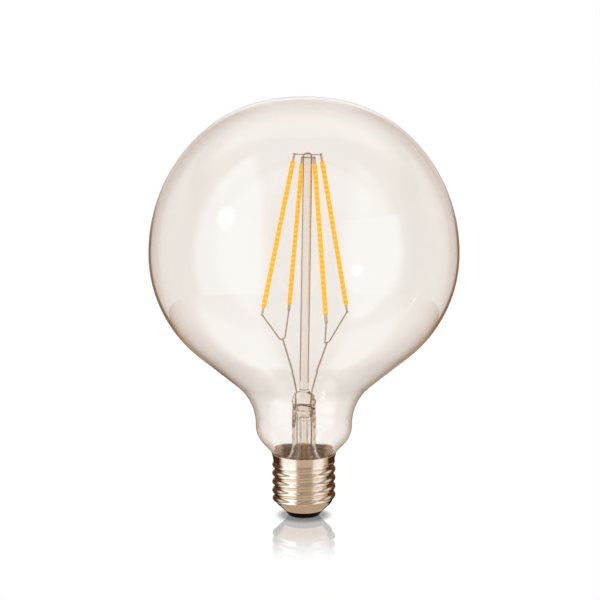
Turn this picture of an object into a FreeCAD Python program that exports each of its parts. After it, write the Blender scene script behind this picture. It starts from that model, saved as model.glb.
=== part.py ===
"""Globe filament lamp with a screw cap: a blown glass globe, a pinched glass stem that carries a cage of
four light-emitting filaments, and a rolled metal cap that holds the driver.

Lengths are millimetres and angles degrees. Z runs up the lamp's axis and starts at the centre contact's
end face. X points to the right and Y points away from the viewer.
"""
import FreeCAD
import Part

import os
from math import acos, cos, degrees, pi, radians, sin, sqrt, tan

from FreeCAD import Vector

# Globe: widest radius, rise of the crown above the widest level, and the meridian's bends below it
GLOBE_RADIUS = 62.5
CROWN_RISE = 62.9
CROWN_FLATTENING = 1.4
GLASS_WALL = 1.0
FLANK_RADIUS = 52.6
FLANK_SWEEP = 50.6
FILLET_RADIUS = 22.0
NECK_RADIUS = 19.8
NECK_LENGTH = 0.4
SHOULDER_RADIUS = 10.0
SHOULDER_SWEEP = 42.0
THROAT_RADIUS = 3.0
TUBE_LENGTH = 2.0

# Screw cap: a sheet metal shell with a rolled round thread, a cone below and a flared rim above
CAP_LENGTH = 26.8
SHEET = 0.3
ROOT_DIAMETER = 24.1
THREAD_DEPTH = 1.05
THREAD_PITCH = 3.629
THREAD_START = 5.31
THREAD_RUN_IN = 1.6
THREAD_RUN_OUT = 1.3
COLLAR_STEP = 0.7
COLLAR_LENGTH = 1.0
RIM_FLARE = 0.75
RIM_LENGTH = 2.2
CONE_TOP_STEP = 0.45
CONE_TOP = 5.9
CONE_REACH = 2.95
CONE_FOOT = 3.1

# Insulator, centre contact and cement
INSULATOR_FACE = 0.55
INSULATOR_SLOPE = 2.1
INSULATOR_TOP = 4.6
INSULATOR_EDGE_RADIUS = 0.35
CONTACT_DIAMETER = 8.2
CONTACT_EDGE_RADIUS = 0.3
SHANK_DIAMETER = 2.4
SHANK_REACH = 1.1
CEMENT_GAP = 0.55
CEMENT_MARGIN = 0.5
CEMENT_CLEARANCE = 0.08
SEAT_CLEARANCE = 0.04
RIM_CLEARANCE = 0.25

# Stem: flared tube, flat press, exhaust tube and the rod that stands on the press
SEAL_BAND = 1.2
FLARE_BEND = 9.5
STEM_DIAMETER = 9.7
STEM_WALL = 1.1
STEM_TOP = 44.0
PRESS_WIDTH = 10.6
PRESS_THICKNESS = 4.4
PRESS_HEIGHT = 8.8
PRESS_TURN = -22.0
PRESS_PINCH = 2.3
PRESS_FLAT = 4.0
PRESS_WIDEST = 5.7
PRESS_SHOULDER = 7.7
EXHAUST_DIAMETER = 3.6
EXHAUST_BORE = 2.2
EXHAUST_DROP = 7.5
EXHAUST_PORT_DIAMETER = 1.4
ROD_COLLAR = 0.5
ROD_DIAMETER = 3.8
ROD_SEAT_DEPTH = 2.4
ROD_HEAD = 1.0

# Filament cage: turns are about the rod, and the whole cage leans a little from the press
CAGE_LEAN = 0.9
FILAMENT_TURNS = {"left": 200.0, "back": 111.5, "front": -63.5, "right": 20.0}
COAT_LENGTH = 60.3
COAT_DIAMETER = 1.9
COAT_END_RADIUS = 0.6
CAGE_TOP = 148.95
TOP_RADIUS = 6.2
FOOT_RADIUS = 18.0
CARRIER_WIDTH = 0.9
CARRIER_THICKNESS = 0.35
CARRIER_REACH = 1.2
TAB_WIDTH = 1.1
TAB_THICKNESS = 0.6
TAB_LENGTH = 2.6
WELD_DIAMETER = 1.15
CROSS_WIRE_DIAMETER = 0.45
CROSS_WIRE_DROP = 1.2
FORK_WIRE_DIAMETER = 0.6
FORK_RADIUS = 9.8
FORK_FOOT = 73.3
FORK_FLAT = 5.0
FORK_BEND = 2.0

# Lead-in wires: stiff inner lead, seal wire in the press, copper outer lead down to the driver
LEAD_DIAMETER = 0.7
LEAD_SPACING = 6.2
LEAD_KNEE_RADIUS = 4.9
LEAD_KNEE_HEIGHT = 59.0
LEAD_BEND = 20.0
LEAD_STRAIGHT_TOP = 1.0
SEAL_WIRE_LENGTH = 3.2
SEAL_WIRE_DIAMETER = 0.5
OUTER_LEAD_DIAMETER = 0.5
OUTER_LEAD_BEND = 6.0
OUTER_LEAD_KNEE_DROP = 1.25

# Driver in the cap: a round board with one capacitor, one rectifier, one chip and one resistor. The
# components and wires stand at shares of the board's radius.
BOARD_CLEARANCE = 0.65
BOARD_THICKNESS = 1.0
BOARD_STANDOFF = 2.3
CAPACITOR_DIAMETER = 6.3
CAPACITOR_HEIGHT = 8.0
CAPACITOR_SHARE = 0.56
CAPACITOR_PIN_SPACING = 2.5
CAPACITOR_RIM_RADIUS = 0.4
CAPACITOR_GROOVE_HEIGHT = 1.4
CAPACITOR_GROOVE_RADIUS = 0.5
CAPACITOR_GROOVE_DEPTH = 0.25
RECTIFIER_SIZE = (4.7, 3.8, 1.6)
RECTIFIER_SHARE = 0.58
CHIP_SIZE = (4.9, 3.9, 1.5)
CHIP_SHARE = 0.54
CHIP_EDGE = 0.2
RESISTOR_DIAMETER = 2.3
RESISTOR_LENGTH = 6.0
RESISTOR_LIFT = 0.3
RESISTOR_SHARE = 0.43
RESISTOR_END_RADIUS = 0.5
RESISTOR_WIRE_REACH = 1.1
RESISTOR_WIRE_BEND = 0.7
PIN_DIAMETER = 0.5
OUTER_LEAD_SHARE = 0.7
CAP_WIRE_DIAMETER = 0.4
CAP_WIRE_TURN = 100.0
CAP_WIRE_SHARE = 0.865
CAP_WIRE_STRAIGHT = 2.0
CAP_WIRE_SLANT = 4.0
CAP_WIRE_BEND = 3.0
CAP_WIRE_GRIP = 1.2
CONTACT_WIRE_DIAMETER = 0.6

# Control points of the shell's skin: round the cap, along each pitch, and at shares of the cone and rim
SKIN_COLUMNS = 24
SKIN_ROWS_PER_PITCH = 8
CONE_ROWS = (0.0, 0.3, 0.65, 0.9)
RIM_ROWS = (0.35, 0.7, 1.0)
COLLAR_BLEND = 0.33
SKIN_DEGREE = 3

# Points that the crown's meridian runs through, and how closely its flattening keeps to the pole
CROWN_POINTS = 13
CROWN_FLATNESS_POWER = 12

# Largest share of a run that a bend may take, or of a thickness that a rounding may take
BEND_SHARE = 0.45
ROUNDING_SHARE = 0.45

# How near an edge lies to the level that picks it out
PICK = 0.1

AXIS = Vector(0, 0, 1)
ORIGIN = Vector(0, 0, 0)

# Levels and radii that follow from the sizes above
SWEEP_SIN = sin(radians(SHOULDER_SWEEP))
SWEEP_COS = cos(radians(SHOULDER_SWEEP))
CREST_DIAMETER = ROOT_DIAMETER + 2 * THREAD_DEPTH
COLLAR_DIAMETER = ROOT_DIAMETER + 2 * COLLAR_STEP
RIM_DIAMETER = COLLAR_DIAMETER + 2 * RIM_FLARE
CONE_TOP_DIAMETER = ROOT_DIAMETER - 2 * CONE_TOP_STEP
CONE_FOOT_DIAMETER = CONE_TOP_DIAMETER - 2 * CONE_REACH
INSULATOR_FACE_DIAMETER = CONE_FOOT_DIAMETER - 2 * INSULATOR_SLOPE
TUBE_RADIUS = ROOT_DIAMETER / 2 - SHEET - CEMENT_GAP
THROAT_END_RADIUS = TUBE_RADIUS + THROAT_RADIUS * (1 - SWEEP_COS)
GLASS_AT_RIM = RIM_DIAMETER / 2 - SHEET - RIM_CLEARANCE
THROAT_END = CAP_LENGTH - (GLASS_AT_RIM - THROAT_END_RADIUS) / tan(radians(SHOULDER_SWEEP))
SEAL = THROAT_END - THROAT_RADIUS * SWEEP_SIN - TUBE_LENGTH
THREAD_TOP = CAP_LENGTH - RIM_LENGTH - COLLAR_LENGTH
CONTACT_TOP = INSULATOR_TOP + SHANK_REACH
BOARD_FOOT = INSULATOR_TOP + BOARD_STANDOFF
BOARD_TOP = BOARD_FOOT + BOARD_THICKNESS
BOARD_RADIUS = ROOT_DIAMETER / 2 - SHEET - BOARD_CLEARANCE
PRESS_TOP = STEM_TOP + PRESS_HEIGHT
LEAD_FOOT = STEM_TOP + SEAL_WIRE_LENGTH


def polar(radius, turn, height):
    """Point at a radius and a turn about the lamp's axis."""
    angle = radians(turn)
    return Vector(radius * cos(angle), radius * sin(angle), height)


def section(radius, height):
    """Point of a section in the XZ plane."""
    return Vector(radius, 0, height)


def revolve(edges):
    """Solid of revolution about the lamp's axis from the edges round a section."""
    wire = Part.Wire(Part.__sortEdges__(edges))
    return Part.Face(wire).revolve(ORIGIN, AXIS, 360)


def polygon(points):
    """Straight edges through section points, closed at the end."""
    ends = points[1:] + points[:1]
    return [Part.makeLine(section(*start), section(*end)) for start, end in zip(points, ends)]


def rod_between(start, end, diameter):
    """Round rod with flat ends."""
    run = end - start
    return Part.makeCylinder(diameter / 2, run.Length, start, run)


def rounded_corner(before, corner, after, bend):
    """Start, middle and end of the arc at a wire's corner, which shrinks where a run is short."""
    back = (before - corner).normalize()
    ahead = (after - corner).normalize()
    half_angle = acos(back.dot(ahead)) / 2
    shorter = min((before - corner).Length, (after - corner).Length)
    setback = min(bend / tan(half_angle), BEND_SHARE * shorter)
    radius = setback * tan(half_angle)
    towards_centre = (back + ahead).normalize()
    middle = corner + towards_centre * (radius / sin(half_angle) - radius)
    return corner + back * setback, middle, corner + ahead * setback


def bent_wire(points, diameter, bend):
    """Round wire along straight runs joined by tangent arcs."""
    edges = []
    start = points[0]
    for before, corner, after in zip(points, points[1:], points[2:]):
        arc_start, middle, arc_end = rounded_corner(before, corner, after, bend)
        edges.append(Part.makeLine(start, arc_start))
        edges.append(Part.Arc(arc_start, middle, arc_end).toShape())
        start = arc_end
    edges.append(Part.makeLine(start, points[-1]))
    rim = Part.Wire(Part.makeCircle(diameter / 2, points[0], points[1] - points[0]))
    return Part.Wire(edges).makePipeShell([rim], True, False)


def leaned(shape):
    """Cage piece leaned to the right about the place where the rod leaves the press."""
    return shape.rotated(Vector(0, 0, PRESS_TOP), Vector(0, 1, 0), CAGE_LEAN)


class Outline:
    """Meridian drawn upwards, with every bend tangent to its neighbours."""

    def __init__(self, radius, height, heading=0.0):
        self.here = (radius, height)
        self.heading = radians(heading)
        self.edges = []

    def straight(self, length):
        """Straight run along the heading, which is the angle that the line leans outwards."""
        radius, height = self.here
        end = (radius + length * sin(self.heading), height + length * cos(self.heading))
        self.edges.append(Part.makeLine(section(*self.here), section(*end)))
        self.here = end

    def bend(self, radius, sweep):
        """Arc that turns the heading outwards by a positive sweep and back by a negative one."""
        reach = radius if sweep > 0 else -radius
        centre_radius = self.here[0] + reach * cos(self.heading)
        centre_height = self.here[1] - reach * sin(self.heading)
        points = [self.here]
        for share in (0.5, 1.0):
            angle = self.heading + radians(sweep) * share
            points.append((centre_radius - reach * cos(angle), centre_height + reach * sin(angle)))
        self.edges.append(Part.Arc(*[section(*point) for point in points]).toShape())
        self.here = points[-1]
        self.heading += radians(sweep)


def straight_between_bends(drop, sweep, *bends):
    """Length of the straight run that is left of a radial drop after its two bends."""
    angle = radians(sweep)
    return (drop - sum(bends) * (1 - cos(angle))) / sin(angle)


def envelope_outline(inset):
    """Meridian of the blown glass, moved inwards by an inset, from the seal up to the crown."""
    line = Outline(TUBE_RADIUS - inset, SEAL)
    line.straight(TUBE_LENGTH)
    line.bend(THROAT_RADIUS + inset, SHOULDER_SWEEP)
    shoulder_drop = NECK_RADIUS - TUBE_RADIUS
    line.straight(straight_between_bends(shoulder_drop, SHOULDER_SWEEP, THROAT_RADIUS, SHOULDER_RADIUS))
    line.bend(SHOULDER_RADIUS - inset, -SHOULDER_SWEEP)
    line.straight(NECK_LENGTH)
    line.bend(FILLET_RADIUS + inset, FLANK_SWEEP)
    flank_drop = GLOBE_RADIUS - NECK_RADIUS
    line.straight(straight_between_bends(flank_drop, FLANK_SWEEP, FILLET_RADIUS, FLANK_RADIUS))
    line.bend(FLANK_RADIUS - inset, -FLANK_SWEEP)
    radius, height = line.here
    points = []
    for step in range(CROWN_POINTS):
        angle = pi / 2 * step / (CROWN_POINTS - 1)
        flattening = CROWN_FLATTENING * (1 - sin(angle) ** CROWN_FLATNESS_POWER)
        rise = (CROWN_RISE - inset + flattening) * sin(angle)
        points.append(section(radius * cos(angle), height + rise))
    crown = Part.BSplineCurve()
    crown.interpolate(Points=points, InitialTangent=AXIS, FinalTangent=Vector(-1, 0, 0))
    line.edges.append(crown.toShape())
    line.here = (0, height + CROWN_RISE - inset)
    return line


def globe_envelope():
    """Blown glass globe, neck and the tube that enters the cap, as one wall."""
    outer = envelope_outline(0)
    inner = envelope_outline(GLASS_WALL)
    crown_line = Part.makeLine(section(*outer.here), section(*inner.here))
    seal_line = Part.makeLine(section(TUBE_RADIUS, SEAL), section(TUBE_RADIUS - GLASS_WALL, SEAL))
    return revolve(outer.edges + inner.edges + [crown_line, seal_line])


def flare_sweep():
    """Angle through which the stem's trumpet opens from its tube."""
    return acos(1 - (TUBE_RADIUS - GLASS_WALL - STEM_DIAMETER / 2) / FLARE_BEND)


def flare_outline(inset):
    """Meridian of the stem's trumpet and tube, moved inwards by an inset, from the seal to the press."""
    reach = TUBE_RADIUS - GLASS_WALL
    sweep = flare_sweep()
    line = Outline(reach - inset * cos(sweep), SEAL + SEAL_BAND - inset * sin(sweep), -degrees(sweep))
    line.bend(FLARE_BEND + inset, degrees(sweep))
    line.straight(STEM_TOP - line.here[1])
    return line


def press_blank():
    """Flat press above the tube: the tube's circle pinched to an oval with arched shoulders."""
    half_width = PRESS_WIDTH / 2
    half_thickness = PRESS_THICKNESS / 2
    tube = STEM_DIAMETER / 2
    collar = ROD_DIAMETER / 2 + ROD_COLLAR
    shoulder = (2 * half_width + collar) / 3
    ovals = [(0, tube, tube),
             (PRESS_PINCH, tube, (tube + half_thickness) / 2),
             (PRESS_FLAT, (tube + half_width) / 2, half_thickness),
             (PRESS_WIDEST, half_width, half_thickness),
             (PRESS_SHOULDER, shoulder, half_thickness),
             (PRESS_HEIGHT, collar, collar)]
    wires = []
    for rise, wide, thick in ovals:
        centre = Vector(0, 0, STEM_TOP + rise)
        oval = Part.Ellipse(centre, wide, thick) if wide > thick else Part.Circle(centre, AXIS, wide)
        wires.append(Part.Wire(oval.toShape()))
    return Part.makeLoft(wires, True, False)


def stem(embedded):
    """Flared tube and press in one, with seats for the rod and wires that are melted into it."""
    outer = flare_outline(0)
    inner = flare_outline(STEM_WALL)
    reach = TUBE_RADIUS - GLASS_WALL
    band = Part.makeLine(section(reach, SEAL), section(reach, SEAL + SEAL_BAND))
    foot = Part.makeLine(section(reach, SEAL), inner.edges[0].Vertexes[0].Point)
    top = Part.makeLine(section(*outer.here), section(*inner.here))
    flare = revolve(outer.edges + inner.edges + [band, foot, top])
    tilt = PRESS_THICKNESS / 2 + STEM_DIAMETER / 4
    port_end = Vector(0, -2 * tilt, STEM_TOP + 2 * tilt)
    port = rod_between(Vector(0, 0, STEM_TOP), port_end, EXHAUST_PORT_DIAMETER)
    press = press_blank().cut(port).rotated(ORIGIN, AXIS, PRESS_TURN)
    return flare.fuse(press).cut(embedded).removeSplitter()


def exhaust_tube():
    """Narrow tube from the press down into the cap, drawn to a closed tip."""
    outer = EXHAUST_DIAMETER / 2
    bore = EXHAUST_BORE / 2
    tip = SEAL - EXHAUST_DROP
    tube = Part.makeCylinder(outer, STEM_TOP - tip - outer, Vector(0, 0, tip + outer))
    tube = tube.fuse(Part.makeSphere(outer, Vector(0, 0, tip + outer))).removeSplitter()
    hollow = Part.makeCylinder(bore, STEM_TOP - tip - outer, Vector(0, 0, tip + outer))
    hollow = hollow.fuse(Part.makeSphere(bore, Vector(0, 0, tip + outer))).removeSplitter()
    return tube.cut(hollow)


def centre_rod(cross_wires):
    """Glass rod from its seat in the press to the rounded head that holds the cross wires."""
    radius = ROD_DIAMETER / 2
    foot = PRESS_TOP - ROD_SEAT_DEPTH
    head = CAGE_TOP + ROD_HEAD
    shoulder = head - radius
    arc = Part.Arc(section(radius, shoulder),
                   section(radius * cos(pi / 4), shoulder + radius * sin(pi / 4)), section(0, head))
    edges = [Part.makeLine(section(0, head), section(0, foot)),
             Part.makeLine(section(0, foot), section(radius, foot)),
             Part.makeLine(section(radius, foot), section(radius, shoulder)), arc.toShape()]
    return revolve(edges).cut(cross_wires)


class Filament:
    """One light-emitting filament: coat, carrier and end tabs, hung from the cage's top."""

    def __init__(self, turn, drop):
        run_in = FOOT_RADIUS - TOP_RADIUS
        fall = sqrt(COAT_LENGTH ** 2 - run_in ** 2)
        outward = polar(1, turn, 0)
        self.along = (outward * run_in - AXIS * fall).normalize()
        self.weld_top = polar(TOP_RADIUS - TAB_LENGTH * run_in / COAT_LENGTH, turn, CAGE_TOP - drop)
        self.coat_top = self.weld_top + self.along * TAB_LENGTH
        self.coat_foot = self.coat_top + self.along * COAT_LENGTH
        self.weld_foot = self.coat_foot + self.along * TAB_LENGTH
        across = AXIS.cross(outward)
        self.rotation = FreeCAD.Rotation(across, self.along.cross(across), self.along, "ZXY")

    def placed(self, shape):
        """Shape modelled down the +Z axis from the coat's top, set in its place in the cage."""
        shape.Placement = FreeCAD.Placement(self.coat_top, self.rotation)
        return shape

    def strip(self, width, thickness, start, end):
        """Flat strip along the filament."""
        corner = Vector(-width / 2, -thickness / 2, start)
        return Part.makeBox(width, thickness, end - start, corner)

    def carrier(self):
        """Strip that carries the chips through the coat."""
        shape = self.strip(CARRIER_WIDTH, CARRIER_THICKNESS, -CARRIER_REACH, COAT_LENGTH + CARRIER_REACH)
        return self.placed(shape)

    def coat(self):
        """Phosphor coat round the carrier, with rounded ends."""
        body = Part.makeCylinder(COAT_DIAMETER / 2, COAT_LENGTH)
        ends = [edge for edge in body.Edges if edge.Curve.TypeId == "Part::GeomCircle"]
        body = body.makeFillet(min(COAT_END_RADIUS, ROUNDING_SHARE * COAT_DIAMETER), ends)
        return self.placed(body).cut(self.carrier())

    def top_tab(self, holder):
        """Metal tab from the carrier's upper end to the cross wire."""
        shape = self.placed(self.strip(TAB_WIDTH, TAB_THICKNESS, -TAB_LENGTH, -SEAT_CLEARANCE))
        return shape.cut([self.carrier(), holder])

    def foot_tab(self, holder):
        """Metal tab from the carrier's lower end to the fork."""
        start = COAT_LENGTH + SEAT_CLEARANCE
        shape = self.placed(self.strip(TAB_WIDTH, TAB_THICKNESS, start, COAT_LENGTH + TAB_LENGTH))
        return shape.cut([self.carrier(), holder])


def cross_wire(first, second):
    """Wire through the rod's head with a weld bead at each end."""
    wire = rod_between(first.weld_top, second.weld_top, CROSS_WIRE_DIAMETER)
    beads = [Part.makeSphere(WELD_DIAMETER / 2, end.weld_top) for end in (first, second)]
    return wire.fuse(beads).removeSplitter()


def fork_foot(turn):
    """Middle of a fork's flat foot, at its turn about the rod."""
    return polar(FORK_RADIUS, turn, FORK_FOOT)


def fork(first, second, turn):
    """Bent wire with a flat foot that joins two filaments' feet, with a weld bead at each end."""
    aside = polar(FORK_FLAT / 2, turn + 90, 0)
    corners = [fork_foot(turn) + aside, fork_foot(turn) - aside]
    corners.sort(key=first.weld_foot.distanceToPoint)
    route = [first.weld_foot, *corners, second.weld_foot]
    wire = bent_wire(route, FORK_WIRE_DIAMETER, FORK_BEND)
    beads = [Part.makeSphere(WELD_DIAMETER / 2, end.weld_foot) for end in (first, second)]
    return wire.fuse(beads).removeSplitter()


def inner_lead(turn, welded_to):
    """Stiff wire from inside the press up to the fork's flat foot, ended against the fork."""
    place = LEAD_SPACING / 2
    route = [polar(place, turn, LEAD_FOOT), polar(place, turn, PRESS_TOP - LEAD_STRAIGHT_TOP),
             polar(LEAD_KNEE_RADIUS, turn, LEAD_KNEE_HEIGHT), fork_foot(turn)]
    return bent_wire(route, LEAD_DIAMETER, LEAD_BEND).cut(welded_to)


def seal_wire(turn, lead):
    """Short wire that passes gas-tight through the press, butted to the inner lead."""
    foot = polar(LEAD_SPACING / 2, turn, STEM_TOP)
    head = foot + AXIS * (SEAL_WIRE_LENGTH + SEAT_CLEARANCE)
    return rod_between(foot, head, SEAL_WIRE_DIAMETER).cut(lead)


def outer_lead(turn):
    """Copper wire from the press down the flared tube and into the board."""
    press_place = LEAD_SPACING / 2
    board_place = OUTER_LEAD_SHARE * BOARD_RADIUS
    halfway_down = (BOARD_TOP + SEAL) / 2
    knee = SEAL + SEAL_BAND + FLARE_BEND * sin(flare_sweep()) - OUTER_LEAD_KNEE_DROP
    route = [polar(press_place, turn, STEM_TOP), polar(press_place, turn, knee),
             polar(board_place, turn, halfway_down), polar(board_place, turn, BOARD_FOOT)]
    return bent_wire(route, OUTER_LEAD_DIAMETER, OUTER_LEAD_BEND)


def thread_radius(height, turn, inset):
    """Radius of the rolled thread at a height and turn: crest and root arcs on a common tangent."""
    arc = THREAD_DEPTH / 4 + THREAD_PITCH ** 2 / (16 * THREAD_DEPTH)
    phase = (height - THREAD_START - THREAD_PITCH * turn / 360) % THREAD_PITCH
    from_crest = min(phase, THREAD_PITCH - phase)
    crest_arc = arc - inset
    root_arc = arc + inset
    if from_crest <= crest_arc * THREAD_PITCH / (4 * arc):
        return CREST_DIAMETER / 2 - arc + sqrt(crest_arc ** 2 - from_crest ** 2)
    return ROOT_DIAMETER / 2 + arc - sqrt(root_arc ** 2 - (THREAD_PITCH / 2 - from_crest) ** 2)


def thread_share(height):
    """How much of the thread shows at a height: none on the cone and collar, all between them."""
    run_in = (height - CONE_TOP) / THREAD_RUN_IN
    run_out = (THREAD_TOP - height) / THREAD_RUN_OUT
    share = max(0.0, min(1.0, run_in, run_out))
    return share * share * (3 - 2 * share)


def skin_rows(inset):
    """Rows of the shell's skin from lip to rim: plain radius, height and whether the thread crosses."""
    foot = CONE_FOOT_DIAMETER / 2
    top = CONE_TOP_DIAMETER / 2
    slope = sqrt(CONE_REACH ** 2 + (CONE_TOP - CONE_FOOT) ** 2)
    shift = (inset * (CONE_TOP - CONE_FOOT) / slope, inset * CONE_REACH / slope)
    rows = []
    for share in CONE_ROWS:
        radius = foot + share * CONE_REACH
        rows.append((radius - shift[0], CONE_FOOT + share * (CONE_TOP - CONE_FOOT) + shift[1], False))
    count = round((THREAD_TOP - CONE_TOP) / THREAD_PITCH * SKIN_ROWS_PER_PITCH)
    for step in range(1, count + 1):
        share = step / count
        height = CONE_TOP + share * (THREAD_TOP - CONE_TOP)
        plain = top + min(1.0, share / COLLAR_BLEND) * (COLLAR_DIAMETER / 2 - top)
        rows.append((plain - inset, height, True))
    collar = COLLAR_DIAMETER / 2 - inset
    rows.append((collar, THREAD_TOP + COLLAR_LENGTH, False))
    for share in RIM_ROWS:
        rows.append((collar + RIM_FLARE * share, THREAD_TOP + COLLAR_LENGTH + RIM_LENGTH * share, False))
    return rows


def skin(inset):
    """Smooth skin of the shell through rings of control points, closed round the axis."""
    step = 2 * pi / SKIN_COLUMNS
    round_swell = 3 / (2 + cos(step))
    thread_swell = 3 / (2 + cos(2 * pi / SKIN_ROWS_PER_PITCH))
    middle = (CREST_DIAMETER + ROOT_DIAMETER) / 4 - inset
    rows = skin_rows(inset)
    poles = []
    for column in range(SKIN_COLUMNS):
        angle = column * step
        poles.append([])
        for plain, height, threaded in rows:
            radius = plain
            if threaded:
                rolled = middle + thread_swell * (thread_radius(height, degrees(angle), inset) - middle)
                radius += thread_share(height) * (rolled - plain)
            poles[-1].append(polar(round_swell * radius, degrees(angle), height))
    spans = len(rows) - SKIN_DEGREE
    round_counts = [1] * (SKIN_COLUMNS + 1)
    upward_counts = [SKIN_DEGREE + 1] + [1] * (spans - 1) + [SKIN_DEGREE + 1]
    round_knots = list(range(SKIN_COLUMNS + 1))
    upward_knots = list(range(spans + 1))
    surface = Part.BSplineSurface()
    surface.buildFromPolesMultsKnots(poles, round_counts, upward_counts, round_knots, upward_knots,
                                     True, False, SKIN_DEGREE, SKIN_DEGREE)
    return surface


def screw_shell():
    """Rolled sheet shell: outer and inner skins a sheet apart, closed at the lip and at the rim."""
    outer = skin(0)
    inner = skin(SHEET)
    faces = [outer.toShape(), inner.toShape()]
    for level in (0, -1):
        outer_edge = outer.vIso(outer.getVKnots()[level]).toShape()
        inner_edge = inner.vIso(inner.getVKnots()[level]).toShape()
        faces.append(Part.makeRuledSurface(outer_edge, inner_edge))
    sheet = Part.makeCompound(faces)
    sheet.sewShape()
    solid = Part.Solid(sheet.Shells[0])
    if solid.Volume < 0:
        solid.reverse()
    return solid


def insulator():
    """Black glass plug moulded into the cap's cone round the contact's shank."""
    foot = CONE_FOOT_DIAMETER / 2
    rise = CONE_TOP - CONE_FOOT
    slope = sqrt(CONE_REACH ** 2 + rise ** 2)
    inset = SHEET + SEAT_CLEARANCE
    lip = (foot - inset * rise / slope, CONE_FOOT + inset * CONE_REACH / slope)
    top_radius = lip[0] + (INSULATOR_TOP - lip[1]) * CONE_REACH / rise
    bore = SHANK_DIAMETER / 2
    points = [(bore, INSULATOR_FACE), (INSULATOR_FACE_DIAMETER / 2, INSULATOR_FACE), (lip[0], CONE_FOOT),
              lip, (top_radius, INSULATOR_TOP), (bore, INSULATOR_TOP)]
    body = revolve(polygon(points))
    rim = [edge for edge in body.Edges if edge.Closed and edge.BoundBox.ZMax < INSULATOR_FACE + PICK
           and edge.BoundBox.XMax > INSULATOR_FACE_DIAMETER / 2 - PICK]
    return body.makeFillet(INSULATOR_EDGE_RADIUS, rim)


def centre_contact():
    """Contact pin: a flat round head below the insulator and a shank through it."""
    head = Part.makeCylinder(CONTACT_DIAMETER / 2, INSULATOR_FACE)
    rim = [edge for edge in head.Edges if edge.Closed and edge.BoundBox.ZMax < PICK]
    head = head.makeFillet(CONTACT_EDGE_RADIUS, rim)
    shank = rod_between(Vector(0, 0, INSULATOR_FACE), Vector(0, 0, CONTACT_TOP), SHANK_DIAMETER)
    return head.fuse(shank).removeSplitter()


def cap_cement(wire):
    """Cement between the glass and the cap: a thin sleeve in the thread and a thicker ring above."""
    outer = envelope_outline(0)
    blank_edges = outer.edges + [Part.makeLine(section(*outer.here), section(0, SEAL)),
                                 Part.makeLine(section(0, SEAL), section(TUBE_RADIUS, SEAL))]
    glass = revolve(blank_edges)
    sleeve = ROOT_DIAMETER / 2 - SHEET - CEMENT_CLEARANCE
    collar = COLLAR_DIAMETER / 2 - SHEET - CEMENT_CLEARANCE
    top = CAP_LENGTH - CEMENT_MARGIN
    top_share = (RIM_LENGTH - CEMENT_MARGIN) / RIM_LENGTH
    points = [(0, SEAL + CEMENT_MARGIN), (sleeve, SEAL + CEMENT_MARGIN), (sleeve, THREAD_TOP),
              (collar, THREAD_TOP + CEMENT_CLEARANCE), (collar, THREAD_TOP + COLLAR_LENGTH),
              (collar + RIM_FLARE * top_share - CEMENT_CLEARANCE, top), (0, top)]
    return revolve(polygon(points)).cut([glass, wire])


def on_board(shape, across, place, height):
    """Component moved to its place on the board, across and along the line between the lead holes."""
    shape.translate(Vector(across, place, height))
    return shape.rotated(ORIGIN, AXIS, PRESS_TURN)


def soft_box(size, edge):
    """Moulded case with bevelled upright and upper edges."""
    length, width, height = size
    box = Part.makeBox(length, width, height, Vector(-length / 2, -width / 2, 0))
    upper = [item for item in box.Edges if item.BoundBox.ZMax > PICK]
    return box.makeChamfer(edge, upper)


def capacitor():
    """Can with a rounded rim, a rolled groove near its foot and two pins through the board."""
    radius = CAPACITOR_DIAMETER / 2
    can = Part.makeCylinder(radius, CAPACITOR_HEIGHT)
    rim = [edge for edge in can.Edges if edge.Closed and edge.BoundBox.ZMin > CAPACITOR_HEIGHT - PICK]
    can = can.makeFillet(CAPACITOR_RIM_RADIUS, rim)
    groove_path = radius + CAPACITOR_GROOVE_RADIUS - CAPACITOR_GROOVE_DEPTH
    groove_centre = Vector(0, 0, CAPACITOR_GROOVE_HEIGHT)
    can = can.cut(Part.makeTorus(groove_path, CAPACITOR_GROOVE_RADIUS, groove_centre))
    pins = []
    for side in (-1, 1):
        foot = Vector(side * CAPACITOR_PIN_SPACING / 2, 0, -BOARD_THICKNESS)
        pins.append(Part.makeCylinder(PIN_DIAMETER / 2, BOARD_THICKNESS, foot))
    return on_board(can.fuse(pins), 0, CAPACITOR_SHARE * BOARD_RADIUS, BOARD_TOP)


def rectifier():
    """Moulded bridge rectifier on the board's upper face."""
    return on_board(soft_box(RECTIFIER_SIZE, CHIP_EDGE), 0, -RECTIFIER_SHARE * BOARD_RADIUS, BOARD_TOP)


def driver_chip():
    """Moulded driver chip on the board's lower face."""
    case = soft_box(CHIP_SIZE, CHIP_EDGE).rotated(ORIGIN, Vector(1, 0, 0), 180)
    return on_board(case, 0, -CHIP_SHARE * BOARD_RADIUS, BOARD_FOOT)


def fuse_resistor():
    """Axial resistor with domed end caps, whose wires turn down through the board."""
    radius = RESISTOR_DIAMETER / 2
    level = radius + RESISTOR_LIFT
    body = rod_between(Vector(0, -RESISTOR_LENGTH / 2, level), Vector(0, RESISTOR_LENGTH / 2, level),
                       RESISTOR_DIAMETER)
    ends = [edge for edge in body.Edges if edge.Closed and edge.Curve.TypeId == "Part::GeomCircle"]
    body = body.makeFillet(min(RESISTOR_END_RADIUS, ROUNDING_SHARE * RESISTOR_DIAMETER), ends)
    side = RESISTOR_LENGTH / 2 + RESISTOR_WIRE_REACH
    route = [Vector(0, -side, -BOARD_THICKNESS), Vector(0, -side, level), Vector(0, side, level),
             Vector(0, side, -BOARD_THICKNESS)]
    wire = bent_wire(route, PIN_DIAMETER, RESISTOR_WIRE_BEND)
    return on_board(body.fuse(wire).removeSplitter(), -RESISTOR_SHARE * BOARD_RADIUS, 0, BOARD_TOP)


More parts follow.
